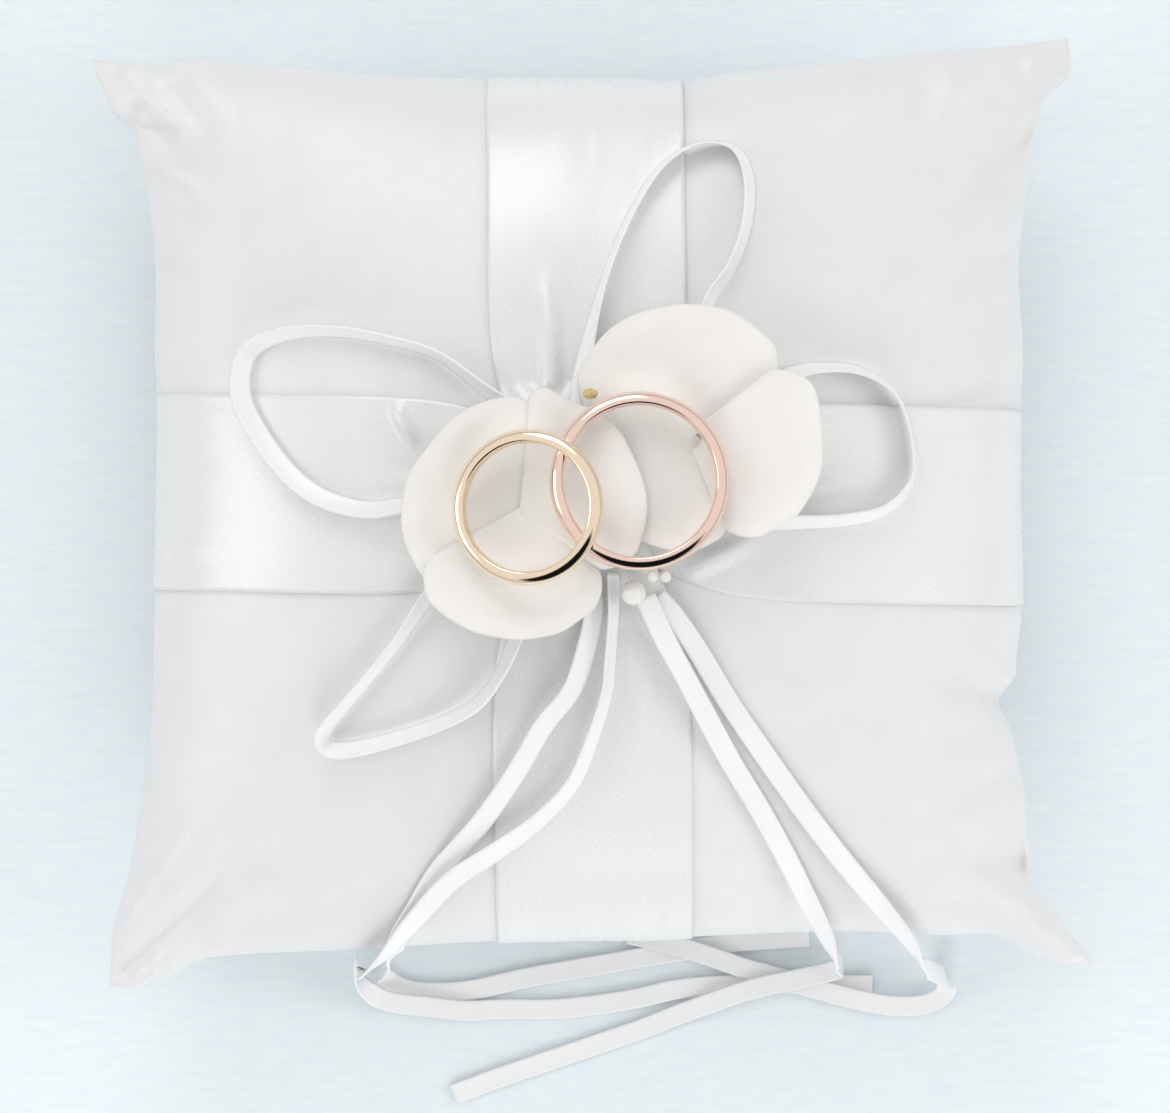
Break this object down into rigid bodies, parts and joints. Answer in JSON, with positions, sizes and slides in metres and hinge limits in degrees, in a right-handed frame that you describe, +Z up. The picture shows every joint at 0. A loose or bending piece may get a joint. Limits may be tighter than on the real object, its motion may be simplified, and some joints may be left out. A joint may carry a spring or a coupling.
{
  "type": "ring bearer pillow",
  "caption": "Small stuffed satin cushion with crossed satin bands, a ribbon bow with long tails, fabric flowers, pearls and loose rings.",
  "frame": {"origin": "on the table under the middle of the cushion's outline", "axes": "+X to the right along the longer side, +Y to the back side, away from the ribbon tails, +Z up"},
  "size_m": [0.151, 0.1642, 0.0683],
  "materials": {
    "cover_satin": "soft white satin weave",
    "polyester_fibre": "loose fibre wadding",
    "band_satin": "glossy white satin ribbon with a woven edge",
    "ribbon_satin": "narrow double-faced satin ribbon",
    "sewing_thread": "matt thread",
    "petal_cloth": "ivory matt petal cloth",
    "pearl_lustre": "pearl lustre",
    "stamen_beige": "waxed stamen tip",
    "yellow_gold": "polished yellow gold",
    "rose_gold": "polished rose gold"
  },
  "bodies": {
    "pillow": {"cover_top_panel": "cover_satin", "cover_bottom_panel": "cover_satin", "fibre_filling": "polyester_fibre", "horizontal_band": "band_satin", "vertical_band": "band_satin", "bow_knot": "ribbon_satin", "bow_loop_left_lower": "ribbon_satin", "bow_loop_left_upper": "ribbon_satin", "bow_loop_right_lower": "ribbon_satin", "bow_loop_right_upper": "ribbon_satin", "ribbon_tail_inner_left": "ribbon_satin", "ribbon_tail_inner_right": "ribbon_satin", "ribbon_tail_outer_left": "ribbon_satin", "ribbon_tail_outer_right": "ribbon_satin", "gathering_stitches": "sewing_thread", "left_flower_base": "petal_cloth", "right_flower_base": "petal_cloth", "left_flower_petal_front": "petal_cloth", "left_flower_petal_left": "petal_cloth", "left_flower_petal_right": "petal_cloth", "right_flower_petal_back": "petal_cloth", "right_flower_petal_front": "petal_cloth", "right_flower_petal_right": "petal_cloth", "large_pearl": "pearl_lustre", "seed_pearl_left": "pearl_lustre", "seed_pearl_right": "pearl_lustre", "stamen_tip": "stamen_beige"},
    "large_ring": {"large_ring": "rose_gold"},
    "small_ring": {"small_ring": "yellow_gold"}
  },
  "joints": [
    {"name": "large_ring_lift", "type": "slide", "parent": "pillow", "child": "large_ring", "axis": [0, 0, 1], "range_m": [0, 0.06]},
    {"name": "small_ring_lift", "type": "slide", "parent": "large_ring", "child": "small_ring", "axis": [0, 0, 1], "range_m": [0, 0.06]}
  ]
}
